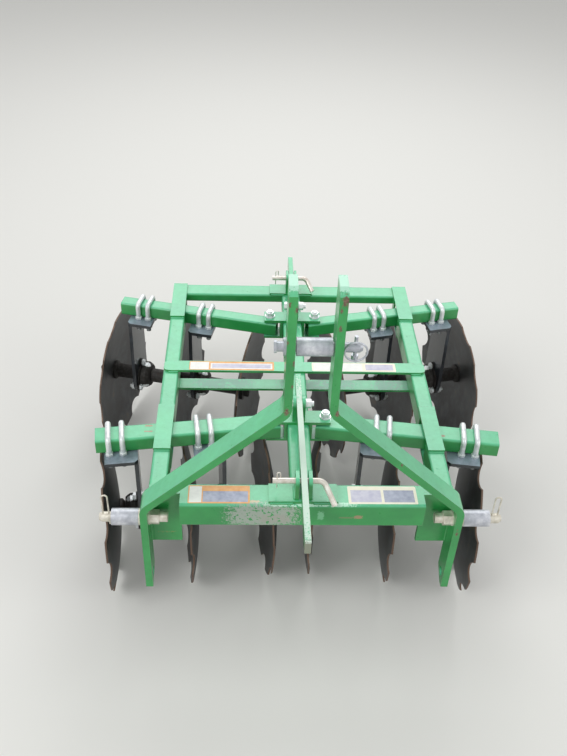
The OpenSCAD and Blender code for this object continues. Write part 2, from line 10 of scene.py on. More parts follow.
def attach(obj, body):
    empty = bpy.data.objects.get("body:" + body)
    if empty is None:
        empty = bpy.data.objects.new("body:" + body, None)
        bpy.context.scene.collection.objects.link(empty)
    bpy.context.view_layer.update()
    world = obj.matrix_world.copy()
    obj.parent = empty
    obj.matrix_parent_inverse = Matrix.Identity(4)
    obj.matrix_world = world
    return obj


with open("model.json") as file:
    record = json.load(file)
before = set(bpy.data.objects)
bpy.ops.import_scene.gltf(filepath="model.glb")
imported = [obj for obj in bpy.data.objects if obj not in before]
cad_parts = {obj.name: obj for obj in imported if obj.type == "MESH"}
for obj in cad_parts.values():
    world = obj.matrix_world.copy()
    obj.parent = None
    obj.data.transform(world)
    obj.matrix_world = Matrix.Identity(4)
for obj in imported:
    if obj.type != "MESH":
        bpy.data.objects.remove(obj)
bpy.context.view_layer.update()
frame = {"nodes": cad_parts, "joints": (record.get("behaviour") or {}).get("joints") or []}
nodes = frame["nodes"]
scene = bpy.context.scene
bpy.ops.object.select_all(action="DESELECT")

MM = 0.001
# The row frame counts depth from the machine's middle and height from the ground.
# at() takes a place measured from the front tube's top front edge, in millimetres.
MIDDLE_Y = 409.387
GROUND_Z = 462.0


def at(x, y, z):
    return Vector((x * MM, (y - MIDDLE_Y) * MM, (z + GROUND_Z) * MM))


def linear(code):
    """An sRGB hex colour as linear numbers, opaque."""
    out = []
    for i in (1, 3, 5):
        c = int(code[i:i + 2], 16) / 255
        out.append(c / 12.92 if c <= 0.04045 else ((c + 0.055) / 1.055) ** 2.4)
    return (*out, 1.0)


def add(tree, kind, inputs=None, stops=None, **settings):
    """Adds a node with its settings, its colour stops and its links or values."""
    node = tree.nodes.new(kind)
    for name, value in settings.items():
        setattr(node, name, value)
    if stops:
        ramp = node.color_ramp.elements
        while len(ramp) < len(stops):
            ramp.new(0.5)
        for element, (place, colour) in zip(ramp, stops):
            element.position = place
            element.color = linear(colour)
    for name, value in (inputs or {}).items():
        if isinstance(value, bpy.types.NodeSocket):
            tree.links.new(value, node.inputs[name])
        else:
            node.inputs[name].default_value = value
    return node


def new_finish(name):
    """An empty material, its tree and the place on the machine."""
    mat = bpy.data.materials.new(name)
    mat.use_nodes = True
    tree = mat.node_tree
    tree.nodes.clear()
    place = add(tree, "ShaderNodeTexCoord").outputs["Object"]
    return mat, tree, place


def skin(tree, inputs):
    """The shader of a finish, from its links and its plain values."""
    shader = add(tree, "ShaderNodeBsdfPrincipled", inputs)
    add(tree, "ShaderNodeOutputMaterial", {"Surface": shader.outputs[0]})


# Finishes

LARGE_PATCH = 0.03         # half length from which a patch keeps islands of its coat


def green_enamel(name, chips=(), scuffs_and_sheen=(), worn=0.0):
    """Gloss implement enamel, sprayed: a slick green coat with orange peel, faded in patches,
    with a painted mint sheen on what faces up, chipped to rust at (place, radius) and scuffed to grey
    primer or painted paler where listed."""
    mat, tree, place = new_finish(name)
    # sun has faded it in patches about 110 mm wide
    fade = add(tree, "ShaderNodeTexNoise", {"Vector": place, "Scale": 9.0, "Detail": 5.0,
                                            "Roughness": 0.6})
    coat = add(tree, "ShaderNodeValToRGB", {"Fac": fade.outputs[0]},
               stops=[(0.30, "#1E8740"), (0.50, "#279646"), (0.72, "#36A956")])
    # a painted sheen of pale mint, cloudy every 17 mm or so, is thicker on what faces up; it stands in
    # for the sky's reflection on the tops
    normal = add(tree, "ShaderNodeNewGeometry").outputs["Normal"]
    up = add(tree, "ShaderNodeSeparateXYZ", {0: normal}).outputs[2]
    film = add(tree, "ShaderNodeTexNoise", {"Vector": place, "Scale": 60.0, "Detail": 6.0,
                                            "Roughness": 0.7})
    lying = add(tree, "ShaderNodeMapRange", {0: up, 1: 0.05, 2: 0.9, 3: 0.04, 4: 0.84})
    thick = add(tree, "ShaderNodeMapRange", {0: film.outputs[0], 3: 0.28, 4: 0.72})
    painted_sheen = add(tree, "ShaderNodeMath", {0: thick.outputs[0], 1: lying.outputs[0]},
                operation="MULTIPLY")
    # painted sheen: the pale mint below lightens what faces up
    colour = add(tree, "ShaderNodeMix", {0: painted_sheen.outputs[0], 6: coat.outputs[0],
                                         7: linear("#8AF3CE")}, data_type="RGBA").outputs[2]
    rough = add(tree, "ShaderNodeMapRange", {0: film.outputs[0], 3: 0.22, 4: 0.38}).outputs[0]
    # paint tears along lines that turn every 5 mm
    ragged = add(tree, "ShaderNodeTexNoise", {"Vector": place, "Scale": 210.0, "Detail": 8.0,
                                              "Roughness": 0.75})
    # edges rub through to dull primer
    if worn:
        soft = add(tree, "ShaderNodeBevel", {"Radius": 0.0022}, samples=4)
        lean = add(tree, "ShaderNodeVectorMath", {0: soft.outputs[0], 1: normal},
                   operation="DOT_PRODUCT")
        edge = add(tree, "ShaderNodeMapRange", {0: lean.outputs["Value"], 1: 0.995, 2: 0.90,
                                                3: 0.0, 4: 1.0})
        bite = add(tree, "ShaderNodeMath", {0: edge.outputs[0], 1: ragged.outputs[0]},
                   operation="MULTIPLY")
        rub = add(tree, "ShaderNodeMapRange", {0: bite.outputs[0], 1: 0.62 - 0.25 * worn,
                                               2: 0.70 - 0.25 * worn})
        colour = add(tree, "ShaderNodeMix", {0: rub.outputs[0], 6: colour,
                                             7: linear("#6E7A6C")}, data_type="RGBA").outputs[2]
    for centre, reach, shade in scuffs_and_sheen:
        # a patch, centre and half size in metres, with square shoulders and a torn edge: worn paint,
        # or a painted highlight where the list marks it so
        off = add(tree, "ShaderNodeVectorMath", {0: place, 1: centre}, operation="SUBTRACT")
        part = add(tree, "ShaderNodeVectorMath", {0: off.outputs[0], 1: reach},
                   operation="DIVIDE")
        part = add(tree, "ShaderNodeVectorMath", {0: part.outputs[0], 1: part.outputs[0]},
                   operation="MULTIPLY")
        far = add(tree, "ShaderNodeVectorMath", {0: part.outputs[0]}, operation="LENGTH")
        torn = add(tree, "ShaderNodeMath", {0: ragged.outputs[0], 1: 3.4,
                                            2: far.outputs["Value"]}, operation="MULTIPLY_ADD")
        mask = add(tree, "ShaderNodeMapRange", {0: torn.outputs[0], 1: 2.5, 2: 2.2,
                                                3: 0.0, 4: 0.9})
        if reach[0] > LARGE_PATCH:
            # islands of the coat about 9 mm wide are left inside a large patch
            left = add(tree, "ShaderNodeTexNoise", {"Vector": place, "Scale": 115.0,
                                                    "Detail": 4.0, "Roughness": 0.6})
            bare = add(tree, "ShaderNodeMapRange", {0: left.outputs[0], 1: 0.60, 2: 0.55})
            mask = add(tree, "ShaderNodeMath", {0: mask.outputs[0], 1: bare.outputs[0]},
                       operation="MULTIPLY")
        colour = add(tree, "ShaderNodeMix", {0: mask.outputs[0], 6: colour, 7: linear(shade)},
                     data_type="RGBA").outputs[2]
        rough = add(tree, "ShaderNodeMix", {0: mask.outputs[0], 2: rough, 3: 0.6}).outputs[0]
    # enamel flakes off in scales about 3 mm wide
    flake = add(tree, "ShaderNodeTexNoise", {"Vector": place, "Scale": 330.0, "Detail": 5.0,
                                             "Roughness": 0.7})
    for centre, radius in chips:
        # a flaked chip, its rust run a little way down
        off = add(tree, "ShaderNodeVectorMath", {0: place, 1: centre}, operation="SUBTRACT")
        off = add(tree, "ShaderNodeVectorMath", {0: off.outputs[0], 1: (1.0, 1.0, 0.55)},
                  operation="MULTIPLY")
        far = add(tree, "ShaderNodeVectorMath", {0: off.outputs[0]}, operation="LENGTH")
        torn = add(tree, "ShaderNodeMath", {0: flake.outputs[0], 1: radius * 4.2,
                                            2: radius * -1.2}, operation="MULTIPLY_ADD")
        mask = add(tree, "ShaderNodeMath", {0: far.outputs["Value"], 1: torn.outputs[0]},
                   operation="LESS_THAN")
        rust = add(tree, "ShaderNodeValToRGB", {"Fac": ragged.outputs[0]},
                   stops=[(0.35, "#4A3A2E"), (0.52, "#776150"), (0.70, "#9C8A76")])
        colour = add(tree, "ShaderNodeMix", {0: mask.outputs[0], 6: colour,
                                             7: rust.outputs[0]}, data_type="RGBA").outputs[2]
        rough = add(tree, "ShaderNodeMix", {0: mask.outputs[0], 2: rough, 3: 0.9}).outputs[0]
    # orange peel has dimples about 2.6 mm apart
    peel = add(tree, "ShaderNodeTexNoise", {"Vector": place, "Scale": 380.0, "Detail": 2.0})
    bump = add(tree, "ShaderNodeBump", {"Height": peel.outputs[0], "Strength": 0.07,
                                        "Distance": 0.001})
    skin(tree, {"Base Color": colour, "Roughness": rough, "Normal": bump.outputs[0], "IOR": 1.52,
                "Coat Weight": 0.35, "Coat Roughness": 0.12})
    return mat


def black_lacquer():
    """Black lacquer on hot-rolled plate: satin, with a painted blue-grey sheen on what faces up."""
    mat, tree, place = new_finish("black lacquer")
    # tone, roughness and the painted sheen vary in clouds about 40 mm wide
    patch = add(tree, "ShaderNodeTexNoise", {"Vector": place, "Scale": 26.0, "Detail": 7.0,
                                             "Roughness": 0.65})
    base = add(tree, "ShaderNodeValToRGB", {"Fac": patch.outputs[0]},
               stops=[(0.30, "#1C1F24"), (0.55, "#2E3339"), (0.75, "#454B53")])
    normal = add(tree, "ShaderNodeNewGeometry").outputs["Normal"]
    up = add(tree, "ShaderNodeSeparateXYZ", {0: normal}).outputs[2]
    lying = add(tree, "ShaderNodeMapRange", {0: up, 1: 0.3, 2: 1.0, 3: 0.0, 4: 1.2})
    # painted sheen: blue-grey on what faces up stands in for the sky's reflection
    painted_top_sheen = add(tree, "ShaderNodeMath", {0: patch.outputs[0], 1: lying.outputs[0]},
               operation="MULTIPLY")
    colour = add(tree, "ShaderNodeMix", {0: painted_top_sheen.outputs[0], 6: base.outputs[0],
                                         7: linear("#A3B4C4")}, data_type="RGBA")
    rough = add(tree, "ShaderNodeMapRange", {0: patch.outputs[0], 3: 0.26, 4: 0.52})
    # rolling scale under the lacquer has a grain of 2.4 mm, drawn coarser than the real one
    grain = add(tree, "ShaderNodeTexNoise", {"Vector": place, "Scale": 420.0, "Detail": 3.0})
    bump = add(tree, "ShaderNodeBump", {"Height": grain.outputs[0], "Strength": 0.12,
                                        "Distance": 0.001})
    skin(tree, {"Base Color": colour.outputs[2], "Roughness": rough.outputs[0],
                "Normal": bump.outputs[0], "Coat Weight": 0.5})
    return mat


def plated(name, low, mid, high, rough_low, rough_high):
    """Zinc plate on turned or bent steel: grey or yellow, cloudy, half bright."""
    mat, tree, place = new_finish(name)
    # the plate clouds over every 18 mm
    cloud = add(tree, "ShaderNodeTexNoise", {"Vector": place, "Scale": 55.0, "Detail": 6.0,
                                             "Roughness": 0.6})
    colour = add(tree, "ShaderNodeValToRGB", {"Fac": cloud.outputs[0]},
                 stops=[(0.30, low), (0.52, mid), (0.74, high)])
    rough = add(tree, "ShaderNodeMapRange", {0: cloud.outputs[0], 3: rough_low, 4: rough_high})
    # drawing marks are 2 mm apart, coarser than the real ones so that they show
    grain = add(tree, "ShaderNodeTexNoise", {"Vector": place, "Scale": 500.0, "Detail": 2.0})
    bump = add(tree, "ShaderNodeBump", {"Height": grain.outputs[0], "Strength": 0.08,
                                        "Distance": 0.001})
    skin(tree, {"Base Color": colour.outputs[0], "Roughness": rough.outputs[0],
                "Normal": bump.outputs[0], "Metallic": 0.45})
    return mat


def spool_iron():
    """Sand-cast iron, painted black and weathered: grainy, dull, rust in the pits."""
    mat, tree, place = new_finish("sand-cast iron")
    # sand leaves pits up to 8 mm wide
    pit = add(tree, "ShaderNodeTexNoise", {"Vector": place, "Scale": 130.0, "Detail": 8.0,
                                           "Roughness": 0.7})
    colour = add(tree, "ShaderNodeValToRGB", {"Fac": pit.outputs[0]},
                 stops=[(0.32, "#3A2A20"), (0.45, "#2A2826"), (0.70, "#4A4744")])
    bump = add(tree, "ShaderNodeBump", {"Height": pit.outputs[0], "Strength": 0.35,
                                        "Distance": 0.001})
    skin(tree, {"Base Color": colour.outputs[0], "Normal": bump.outputs[0], "Roughness": 0.62,
                "Metallic": 0.3})
    return mat


def blade_steel(name, hub, axis):
    """Spring steel disc, pressed and tempered: a dark oxide skin, rubbed in rings
    round the hub by soil, with a film of brown rust."""
    mat, tree, place = new_finish(name)
    off = add(tree, "ShaderNodeVectorMath", {0: place, 1: hub}, operation="SUBTRACT")
    along = add(tree, "ShaderNodeVectorMath", {0: off.outputs[0], 1: axis},
                operation="DOT_PRODUCT")
    back = add(tree, "ShaderNodeVectorMath", {0: axis, "Scale": along.outputs["Value"]},
               operation="SCALE")
    flat = add(tree, "ShaderNodeVectorMath", {0: off.outputs[0], 1: back.outputs[0]},
               operation="SUBTRACT")
    radius = add(tree, "ShaderNodeVectorMath", {0: flat.outputs[0]}, operation="LENGTH")
    # soil rubs the skin in patches about 55 mm wide
    cloud = add(tree, "ShaderNodeTexNoise", {"Vector": place, "Scale": 18.0, "Detail": 7.0,
                                             "Roughness": 0.62})
    # rings about 4 mm apart, drawn coarser than the real scratches so that they show
    wobble = add(tree, "ShaderNodeMath", {0: cloud.outputs[0], 1: 0.012,
                                          2: radius.outputs["Value"]}, operation="MULTIPLY_ADD")
    turns = add(tree, "ShaderNodeMath", {0: wobble.outputs[0], 1: 1500.0}, operation="MULTIPLY")
    ring = add(tree, "ShaderNodeMath", {0: turns.outputs[0]}, operation="SINE")
    tone = add(tree, "ShaderNodeMath", {0: ring.outputs[0], 1: 0.035, 2: cloud.outputs[0]},
               operation="MULTIPLY_ADD")
    colour = add(tree, "ShaderNodeValToRGB", {"Fac": tone.outputs[0]},
                 stops=[(0.30, "#3A3836"), (0.48, "#4A4A4B"), (0.60, "#585B5D"),
                        (0.78, "#7A6A5C")])
    # the outer 30 mm are scoured brighter
    rim = add(tree, "ShaderNodeMapRange", {0: radius.outputs["Value"], 1: 0.165, 2: 0.203,
                                           3: 0.0, 4: 0.45})
    shine = add(tree, "ShaderNodeMath", {0: rim.outputs[0], 1: cloud.outputs[0]},
                operation="MULTIPLY")
    worn = add(tree, "ShaderNodeMix", {0: shine.outputs[0], 6: colour.outputs[0],
                                       7: linear("#8E8A86")}, data_type="RGBA")
    rough = add(tree, "ShaderNodeMapRange", {0: tone.outputs[0], 3: 0.32, 4: 0.62})
    bump = add(tree, "ShaderNodeBump", {"Height": tone.outputs[0], "Strength": 0.2,
                                        "Distance": 0.001})
    # the cut edges, which face away from the axis, are brown with rust
    normal = add(tree, "ShaderNodeNewGeometry").outputs["True Normal"]
    facing = add(tree, "ShaderNodeVectorMath", {0: normal, 1: axis}, operation="DOT_PRODUCT")
    facing = add(tree, "ShaderNodeMath", {0: facing.outputs["Value"]}, operation="ABSOLUTE")
    cut = add(tree, "ShaderNodeMapRange", {0: facing.outputs[0], 1: 0.85, 2: 0.5, 3: 0.0, 4: 0.85})
    edged = add(tree, "ShaderNodeMix", {0: cut.outputs[0], 6: worn.outputs[2],
                                        7: linear("#6C5546")}, data_type="RGBA")
    skin(tree, {"Base Color": edged.outputs[2], "Roughness": rough.outputs[0],
                "Normal": bump.outputs[0], "Metallic": 0.55})
    return mat


def rolled_thread(pitch):
    """Zinc plated rolled thread, its turns a pitch apart, darker in the grooves."""
    mat, tree, place = new_finish("rolled thread, zinc plate")
    height = add(tree, "ShaderNodeSeparateXYZ", {0: place}).outputs[2]
    turns = add(tree, "ShaderNodeMath", {0: height, 1: math.tau / pitch}, operation="MULTIPLY")
    flank = add(tree, "ShaderNodeMath", {0: turns.outputs[0]}, operation="SINE")
    groove = add(tree, "ShaderNodeMapRange", {0: flank.outputs[0], 1: -1.0, 2: 1.0})
    dark = add(tree, "ShaderNodeValToRGB", {"Fac": groove.outputs[0]},
               stops=[(0.0, "#5E6263"), (0.6, "#A9AEB0"), (1.0, "#C9CDCE")])
    bump = add(tree, "ShaderNodeBump", {"Height": groove.outputs[0], "Strength": 0.6,
                                        "Distance": 0.0006})
    skin(tree, {"Base Color": dark.outputs[0], "Normal": bump.outputs[0], "Metallic": 0.85,
                "Roughness": 0.38})
    return mat


enamel = green_enamel("green enamel", worn=0.5)
tube_enamel = green_enamel(
    "green enamel, front tube", worn=0.5,
    scuffs_and_sheen=[(at(-84, 0, -31), (0.090, 0.02, 0.040), "#A8B0A8"),
            (at(-60, 0, -40), (0.040, 0.02, 0.016), "#A3A79C"),
            (at(38, 0, -30), (0.008, 0.01, 0.015), "#74BC8C"),
            (at(94, 0, -36), (0.020, 0.01, 0.003), "#6F8A5A"),
            (at(118, 0, -34), (0.011, 0.01, 0.006), "#A58A6C"),
            (at(-102, 12, 0), (0.013, 0.004, 0.004), "#D9C3A6"),
            # a pale mint strip along the top front edge
            (at(15, 5, 0), (0.110, 0.007, 0.004), "#CDF5DF")])
mast_enamel = green_enamel(
    "green enamel, mast", worn=0.6,
    chips=[(at(46, -9.4, 521), 0.0062), (at(40, -9.4, 500), 0.0026), (at(41, -9.4, 462), 0.0034),
           (at(-50, -9.4, 512), 0.0030), (at(-37, -9.4, 500), 0.0034), (at(-36, -9.4, 383), 0.0040),
           (at(50, -9.4, 264), 0.0040), (at(-46, -9.4, 268), 0.0048), (at(-50, -9.4, 430), 0.0026),
           (at(-38, -9.4, 330), 0.0024), (at(190, -9.4, 130), 0.0022), (at(334, -9.4, -76), 0.0030),
           (at(333, -9.4, -64), 0.0016), (at(-323, -9.4, -70), 0.0024),
           (at(-325.6, 13, -96), 0.0030), (at(-325.6, 34, -128), 0.0020)],
    scuffs_and_sheen=[(at(-290, 41.9, -120), (0.028, 0.01, 0.0035), "#8A8A4E"),
            (at(-300, 5, -40), (0.02, 0.02, 0.05), "#A8C6AC"),
            (at(300, 5, -60), (0.02, 0.02, 0.04), "#A8C6AC"),
            # painted highlights: the pale mint patches on the two mast tops stand in for the sky's
            # sheen
            (at(43, 16, 544), (0.016, 0.036, 0.012), "#B9EAD3"),
            (at(-43, 16, 544), (0.016, 0.036, 0.012), "#B9EAD3")])
bar_enamel = green_enamel(
    "green enamel, bars", worn=0.9,
    scuffs_and_sheen=[(at(0, -148, 42), (0.02, 0.012, 0.03), "#8F8E80"),
            # a pale strip along the bar's top edge
            (at(0, 90, 58), (0.02, 0.30, 0.004), "#CFE2D4")])
gang_enamel = green_enamel(
    "green enamel, gangs", worn=0.5,
    scuffs_and_sheen=[(at(-346, 257, -11), (0.010, 0.0035, 0.004), "#B5907A"),
            (at(-345, 238, -11), (0.012, 0.0030, 0.004), "#B5907A"),
            (at(333, 231, -11), (0.009, 0.0040, 0.004), "#A98C76")])
strap_enamel = green_enamel(
    "green enamel, lower strap", worn=0.9,
    scuffs_and_sheen=[(at(-180, 469, -57), (0.09, 0.022, 0.004), "#86B3A2"),
            (at(60, 469, -57), (0.12, 0.022, 0.004), "#8BB6A6"),
            (at(250, 469, -57), (0.06, 0.022, 0.004), "#86B3A2")])
lacquer = black_lacquer()
zinc = plated("zinc plate", "#C6CDD0", "#E6EAEB", "#F6F8F8", 0.24, 0.46)
handled_zinc = plated("zinc plate, handled", "#9FA3AC", "#BEC1C9", "#E2E4E8", 0.28, 0.50)
handled_yellow = plated("yellow zinc plate, handled", "#B4AE9F", "#DAD5C7", "#F2EEE5", 0.28, 0.50)
thread = rolled_thread(1.8 * MM)
yellow_zinc = plated("yellow zinc plate", "#C9BDB0", "#E6DED6", "#F6F2EC", 0.26, 0.45)
iron = spool_iron()


def dress(node, finish):
    nodes[node].data.materials.clear()
    nodes[node].data.materials.append(finish)


for name in nodes:
    if name.startswith(("mast", "hitch_plate")):
        dress(name, mast_enamel)
    elif name == "front_cross_tube":
        dress(name, tube_enamel)
    elif name.endswith("_bar"):
        dress(name, bar_enamel)
    elif name == "lower_strap":
        dress(name, strap_enamel)
    elif name.startswith("gang_tube"):
        dress(name, gang_enamel)
    elif name.startswith("hangers"):
        dress(name, lacquer)
    elif name.startswith(("bearings", "axle")):
        dress(name, iron)
    elif name.endswith("l_pin"):
        dress(name, yellow_zinc)
    elif name.startswith("hitch_pin"):
        dress(name, handled_yellow)
    elif name.startswith(("hitch_bushing", "top_link")):
        dress(name, handled_zinc)
    elif name.startswith("u_bolts") or name.endswith("bolts"):
        dress(name, zinc)
    elif name.startswith("blades"):
        spin = next(j for j in frame["joints"] if j["name"] == "roll_" + name[-2:])
        dress(name, blade_steel("blade steel " + name[-2:], spin["pos_m"], spin["axis"]))
    else:
        dress(name, enamel)


# Threads and bolts

# pivots of the front and rear gangs, beside the middle and behind the front edge, and their angles
GANGS = {"F": (63.5, 279, -7.6), "R": (60, 685, 12.4)}
# where the hangers stand on each gang tube, measured from its pivot
HANGERS = {"FL": (312, 110), "FR": (290, 88), "RL": (387, 216), "RR": (387, 216)}
TUBE_LOW = -49.45          # underside of the gang tubes
NUT_LOW = TUBE_LOW - 23    # below this a leg of a U-bolt is bare
AXLE_Z = -266
FLANGE_OUT = 9.5           # from a hanger's middle to the inner face of its bearing flange
FLANGE_THICK = 5
BOLT_CIRCLE = 42
BOLT_ANGLES = (90, 210, 330)
BOLT_REACH = 10.2          # a little more than the radius of a bolt's head
SLACK = 0.2


def gang_axes(corner):
    """The pivot of a gang, the way its tube runs and the way across it."""
    x, y, angle = GANGS[corner[0]]
    side = 1 if corner[1] == "R" else -1
    turn = math.radians(angle)
    return (at(side * x, y, 0),
            Vector((side * math.cos(turn), math.sin(turn), 0)),
            Vector((-side * math.sin(turn), math.cos(turn), 0)))


for corner, hangers in HANGERS.items():
    pivot, along, across = gang_axes(corner)
    # bare threads show below the nuts of the U-bolts
    bolts = nodes["u_bolts_" + corner].data
    bolts.materials.append(thread)
    for face in bolts.polygons:
        if face.center.z < at(0, 0, NUT_LOW).z:
            face.material_index = 1
    # the flange bolts of the bearings are zinc plated
    bearing = nodes["bearings_" + corner].data
    bearing.materials.append(zinc)
    for face in bearing.polygons:
        off = face.center - pivot
        u, v, z = off.dot(along) / MM, off.dot(across) / MM, off.z / MM
        u, z = min((u - h for h in hangers), key=abs), z - AXLE_Z
        u = (u if corner[0] == "F" else -u) - FLANGE_OUT
        near = min(math.hypot(v - BOLT_CIRCLE * math.cos(math.radians(a)),
                              z - BOLT_CIRCLE * math.sin(math.radians(a))) for a in BOLT_ANGLES)
        if near < BOLT_REACH and (u > FLANGE_THICK + SLACK or u < -SLACK):
            face.material_index = 1


def joined(copies, name):
    """One piece from many copies."""
    bpy.ops.object.select_all(action="DESELECT")
    for piece in copies:
        piece.select_set(True)
    bpy.context.view_layer.objects.active = copies[0]
    bpy.ops.object.join()
    copies[0].name = name
    return copies[0]


# Nuts on the hanger plates
# A nut sits on top of each hanger plate round each leg of a U-bolt, its inner side
# dressed flat against the tube.

NUT_RADIUS = 9.6           # over the corners
NUT_HIGH = 8
NUT_LIFT = 4.1             # middle of a nut above the plate
NUT_FLAT = 6.5             # from the leg to the side that is dressed flat
LEG_OUT = 6.65             # from the tube's side to the middle of a leg
# half the tube's width, from a hanger to the middle of its U-bolts, and their spacing
U_BOLTS = {"F": (25.4, 48, 31), "R": (19.05, -37.5, 27)}

bpy.ops.mesh.primitive_cylinder_add(vertices=6, radius=NUT_RADIUS * MM, depth=NUT_HIGH * MM,
                                    location=(0, 0, 0))
nut = bpy.context.object
bpy.ops.object.mode_set(mode="EDIT")
bpy.ops.mesh.select_all(action="SELECT")
bpy.ops.mesh.bevel(offset=1.1 * MM, segments=2, affect="EDGES")
bpy.ops.mesh.bisect(plane_co=(0, NUT_FLAT * MM, 0), plane_no=(0, 1, 0), clear_outer=True,
                    use_fill=True)
bpy.ops.object.mode_set(mode="OBJECT")
nut.data.materials.append(zinc)
for corner, hangers in HANGERS.items():
    pivot, along, across = gang_axes(corner)
    half, set_back, gap = U_BOLTS[corner[0]]
    copies = []
    for hanger in hangers:
        for step in (-0.5, 0.5):
            for v in (-1, 1):
                spot = pivot + along * MM * (hanger + set_back + step * gap) \
                    + across * MM * v * (half + LEG_OUT)
                inward = across * -v
                mesh = nut.data.copy()
                mesh.transform(
                    Matrix.Translation((spot.x, spot.y, at(0, 0, TUBE_LOW + NUT_LIFT).z))
                    @ Matrix.Rotation(math.atan2(inward.y, inward.x) - math.pi / 2, 4, "Z"))
                copies.append(bpy.data.objects.new("plate_nuts_" + corner, mesh))
                bpy.context.collection.objects.link(copies[-1])
    nuts = joined(copies, "plate_nuts_" + corner)
    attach(nuts, "gang_" + corner)
bpy.data.objects.remove(nut)

# Weld beads
# A bead is a half-sunk rod with the ripples of the weld pool, painted over.

BEAD_RADIUS = 3.1
BEAD_LONG = 40
RIPPLES = 20
TUBE_IN, TUBE_OUT = 291, 327   # side tubes, from the middle

bpy.ops.object.select_all(action="DESELECT")
bpy.ops.mesh.primitive_cylinder_add(vertices=12, radius=BEAD_RADIUS * MM, depth=BEAD_LONG * MM,
                                    rotation=(0, math.pi / 2, 0), location=(0, 0, 0))
bead = bpy.context.object
bpy.ops.object.transform_apply(location=False, rotation=True, scale=False)
bpy.ops.object.mode_set(mode="EDIT")
work = bmesh.from_edit_mesh(bead.data)
for edge in work.edges:
    edge.select = abs((edge.verts[0].co - edge.verts[1].co).x) > BEAD_LONG * MM / 2
bmesh.update_edit_mesh(bead.data)
bpy.ops.mesh.subdivide(number_cuts=RIPPLES - 1)
work = bmesh.from_edit_mesh(bead.data)
for vert in work.verts:
    ring = round((vert.co.x / (BEAD_LONG * MM) + 0.5) * RIPPLES)
    puff = 0.55 if ring in (0, RIPPLES) else 1.0 if ring % 2 else 0.84
    vert.co.y *= puff
    vert.co.z *= puff * (1.06 if ring % 3 else 0.95)
bmesh.update_edit_mesh(bead.data)
bpy.ops.mesh.select_all(action="SELECT")
bpy.ops.mesh.faces_shade_smooth()
bpy.ops.object.mode_set(mode="OBJECT")
bead.data.materials.append(enamel)

runs = []
for side in (-1, 1):
    tube = (side * TUBE_IN, side * TUBE_OUT)
    # side tubes to the front and rear members, and the ends of the window straps
    for y, z in ((64, -6.35), (798.5, -6.35), (170.5, -6.35), (322, -6.35), (683, -6.35)):
        runs.append(((tube[0], y, z - 0.5), (tube[1], y, z - 0.5)))
    for y in (170.5, 322, 683):
        runs.append(((tube[0], y, -57.6), (tube[1], y, -57.6)))
    # cross straps to the side tubes
    for y in (449.5, 488.6):
        runs.append(((side * TUBE_IN, y, -6), (side * 315, y, -6)))
    # hanging plates to the legs and to the front tube
    runs.append(((side * 325, 33.5, -144), (side * 325, 33.5, -92)))
    runs.append(((side * 325, 33.5, -20), (side * 325, 33.5, -2)))
    runs.append(((side * 262, 41.9, -64), (side * 322, 41.9, -64)))
    runs.append(((side * 259, 33.5, -60), (side * 259, 33.5, -4)))
    # centre beam, foot plates and ears
    runs.append(((side * 27, 63.9, -12), (side * 27, 63.9, -40)))
    runs.append(((side * 21, 6, 0.3), (side * 70, 6, 0.3)))
    runs.append(((side * 21, 58, 0.3), (side * 70, 58, 0.3)))
    runs.append(((side * 18.2, 12, 6.5), (side * 18.2, 52, 6.5)))
    runs.append(((side * 18, 799, -6), (side * 56, 799, -6)))
copies = []
for start, end in runs:
    a, b = at(*start), at(*end)
    mesh = bead.data.copy()
    mesh.transform(Matrix.Translation((a + b) / 2)
                   @ (b - a).to_track_quat("X", "Z").to_matrix().to_4x4()
                   @ Matrix.Diagonal(((b - a).length / (BEAD_LONG * MM), 1, 1, 1)))
    copies.append(bpy.data.objects.new("weld_beads", mesh))
    bpy.context.collection.objects.link(copies[-1])
beads = joined(copies, "weld_beads")
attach(beads, "root")
bpy.data.objects.remove(bead)

# Blank decals


def vinyl(name, colour, faded):
    """Printed vinyl film, faded in blots 14 mm wide, with fine scratches along it."""
    mat, tree, place = new_finish(name)
    blot = add(tree, "ShaderNodeTexNoise", {"Vector": place, "Scale": 70.0, "Detail": 6.0,
                                            "Roughness": 0.6})
    tone = add(tree, "ShaderNodeValToRGB", {"Fac": blot.outputs[0]},
               stops=[(0.32, colour), (0.70, faded)])
    long = add(tree, "ShaderNodeVectorMath", {0: place, 1: (60.0, 900.0, 60.0)},
               operation="MULTIPLY")
    hair = add(tree, "ShaderNodeTexNoise", {"Vector": long.outputs[0], "Scale": 1.0, "Detail": 3.0})
    rough = add(tree, "ShaderNodeMapRange", {0: hair.outputs[0], 3: 0.28, 4: 0.55})
    bump = add(tree, "ShaderNodeBump", {"Height": hair.outputs[0], "Strength": 0.05,
                                        "Distance": 0.001})
    skin(tree, {"Base Color": tone.outputs[0], "Roughness": rough.outputs[0],
                "Normal": bump.outputs[0]})
    return mat


white = vinyl("white vinyl", "#E6E7E4", "#F4F4F0")
cream = vinyl("cream vinyl", "#EFE9D2", "#F6F1E0")
orange = vinyl("orange vinyl", "#E09A52", "#F0B878")
slate = vinyl("blue-grey vinyl", "#8C93AC", "#B4B9CB")
lavender = vinyl("lavender-grey vinyl", "#B9B8CE", "#D4D3DF")

FILM_THICK = 0.2
FILM_LIFT = 0.15           # keeps a film clear of the steel under it
FILM_CORNER = 2.5
